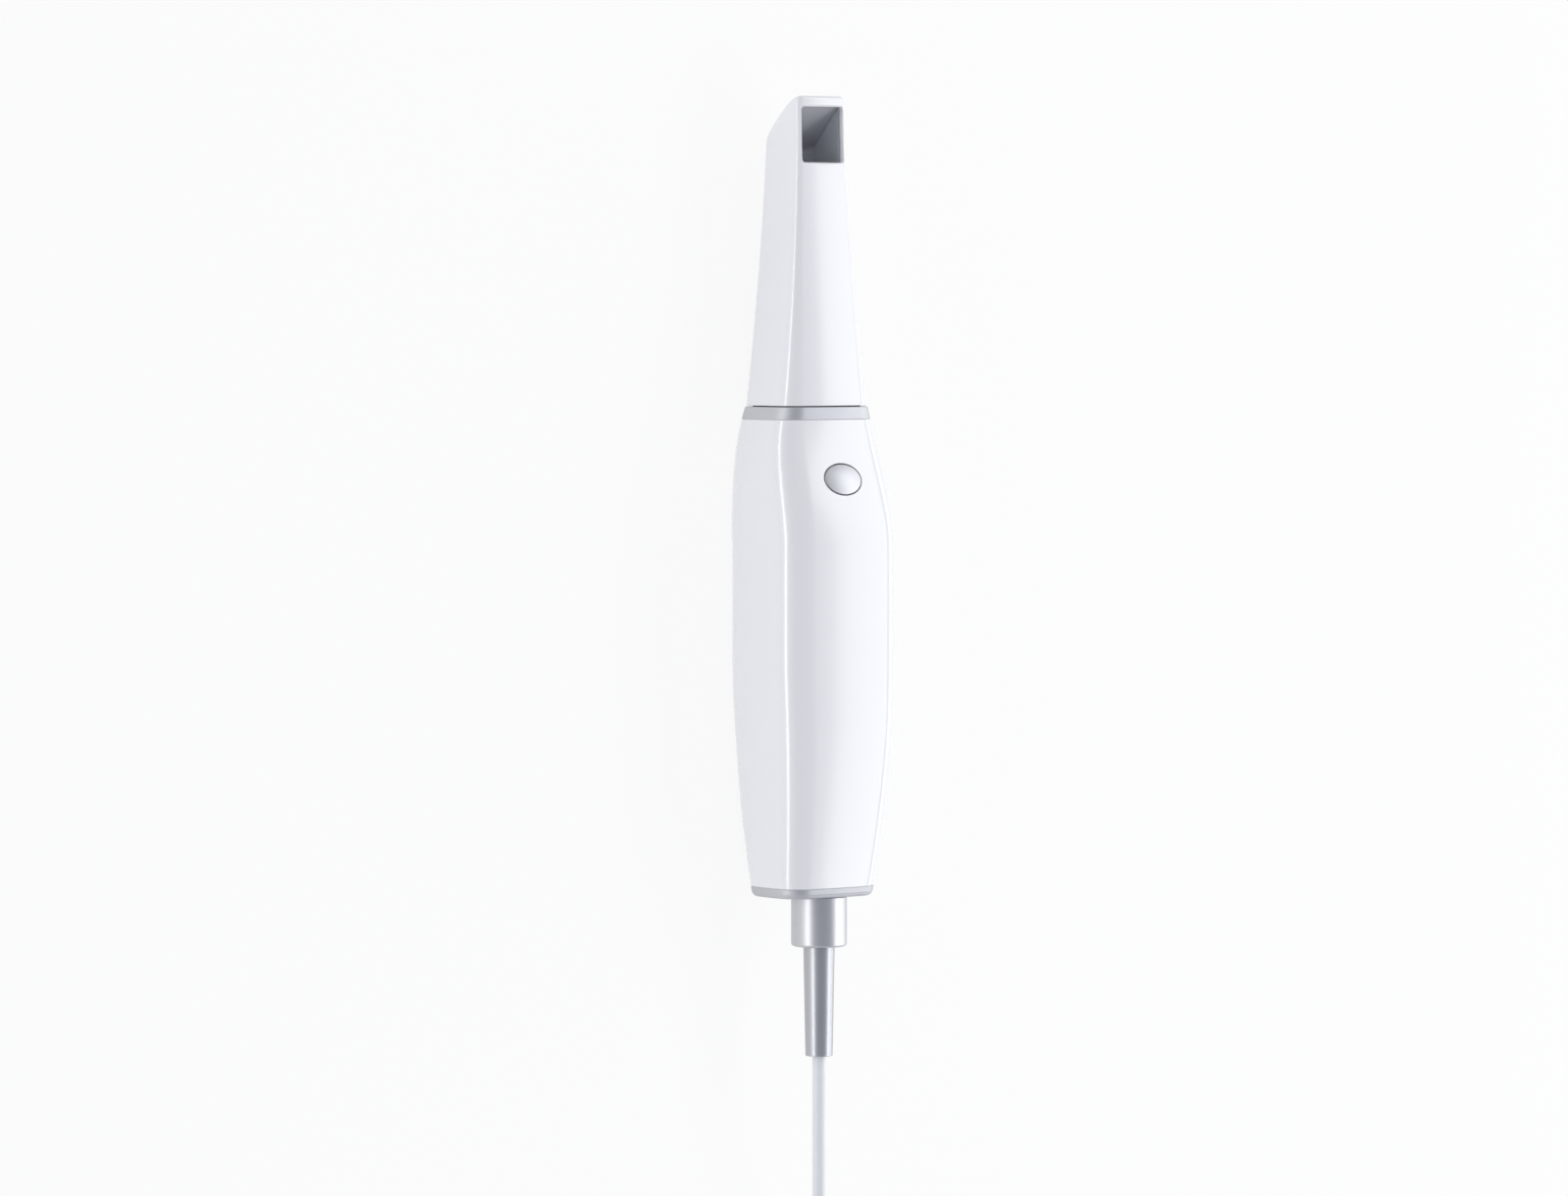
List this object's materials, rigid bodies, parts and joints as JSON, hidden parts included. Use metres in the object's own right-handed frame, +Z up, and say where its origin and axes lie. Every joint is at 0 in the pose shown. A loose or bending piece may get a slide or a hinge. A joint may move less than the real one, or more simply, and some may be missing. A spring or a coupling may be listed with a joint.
{
  "type": "intraoral scanner",
  "caption": "Handheld dental intraoral scanner with a pull-off mirror tip, grey collar, press buttons and a cable with a plug",
  "frame": {"origin": "centre of the wand's bounding box at the surface it lies on, the free cord left out", "axes": "+Y along the wand towards the mirror tip, +Z up through the scan window, +X across the wand"},
  "size_m": [0.0575, 0.438, 0.0336],
  "materials": {
    "body_white": "gloss",
    "satin_grey": "satin",
    "relief_grey": "matte",
    "button_silver": "satin",
    "mirror": "polished",
    "shield_black": "matte",
    "optic_glass": "gloss",
    "light_lens": "satin",
    "seal_rubber": "matte",
    "bare_aluminium": "satin",
    "frame_plastic": "matte",
    "board_green": "satin",
    "chip_black": "matte",
    "emitter_white": "matte",
    "plunger_tan": "matte",
    "screw_steel": "satin",
    "nut_brass": "satin",
    "cable_grey": "satin",
    "tie_grey": "matte",
    "tongue_blue": "matte"
  },
  "bodies": {
    "handle": {"handle_sleeve": "body_white", "collar_ring": "satin_grey", "end_cap": "satin_grey", "cable_gland": "satin_grey", "strain_relief": "relief_grey", "optical_nose": "shield_black", "camera_barrel": "shield_black", "projector_barrel": "shield_black", "nose_pane": "optic_glass", "camera_lens": "optic_glass", "projector_lens": "optic_glass", "light_lens": "light_lens", "nose_seal": "seal_rubber", "optical_bench": "bare_aluminium", "heat_sink": "bare_aluminium", "inner_frame": "frame_plastic", "camera_board": "board_green", "projector_board": "board_green", "main_board": "board_green", "front_switch_board": "board_green", "back_switch_board": "board_green", "light_board": "board_green", "image_sensor": "chip_black", "processor": "chip_black", "front_switch": "chip_black", "back_switch": "chip_black", "board_connector": "chip_black", "lead_plug": "chip_black", "projector_emitter": "emitter_white", "light_chip": "emitter_white", "board_screw_1": "screw_steel", "board_screw_2": "screw_steel", "board_screw_3": "screw_steel", "board_screw_4": "screw_steel", "bench_screw_1": "screw_steel", "bench_screw_2": "screw_steel", "plug_shell": "screw_steel", "gland_nut": "nut_brass", "inner_lead": "cable_grey", "cable_run": "cable_grey", "cable_tail": "cable_grey", "cable_coil": "cable_grey", "plug_relief": "cable_grey", "plug_body": "cable_grey", "coil_tie": "tie_grey", "plug_tongue": "tongue_blue"},
    "tip": {"tip_shell": "body_white", "tip_liner": "shield_black", "tip_mirror": "mirror"},
    "front_key": {"front_button": "button_silver", "front_switch_plunger": "plunger_tan"},
    "back_key": {"back_button": "button_silver", "back_switch_plunger": "plunger_tan"}
  },
  "joints": [
    {"name": "tip_pull_off", "type": "slide", "parent": "handle", "child": "tip", "axis": [0, 1, 0], "range_m": [0, 0.048]},
    {"name": "front_button_press", "type": "slide", "parent": "handle", "child": "front_key", "axis": [0, -0.2872, -0.9579], "range_m": [0, 0.0006], "stiffness_N_per_m": 400},
    {"name": "back_button_press", "type": "slide", "parent": "handle", "child": "back_key", "axis": [0, 0, 1], "range_m": [0, 0.0006], "stiffness_N_per_m": 400}
  ]
}
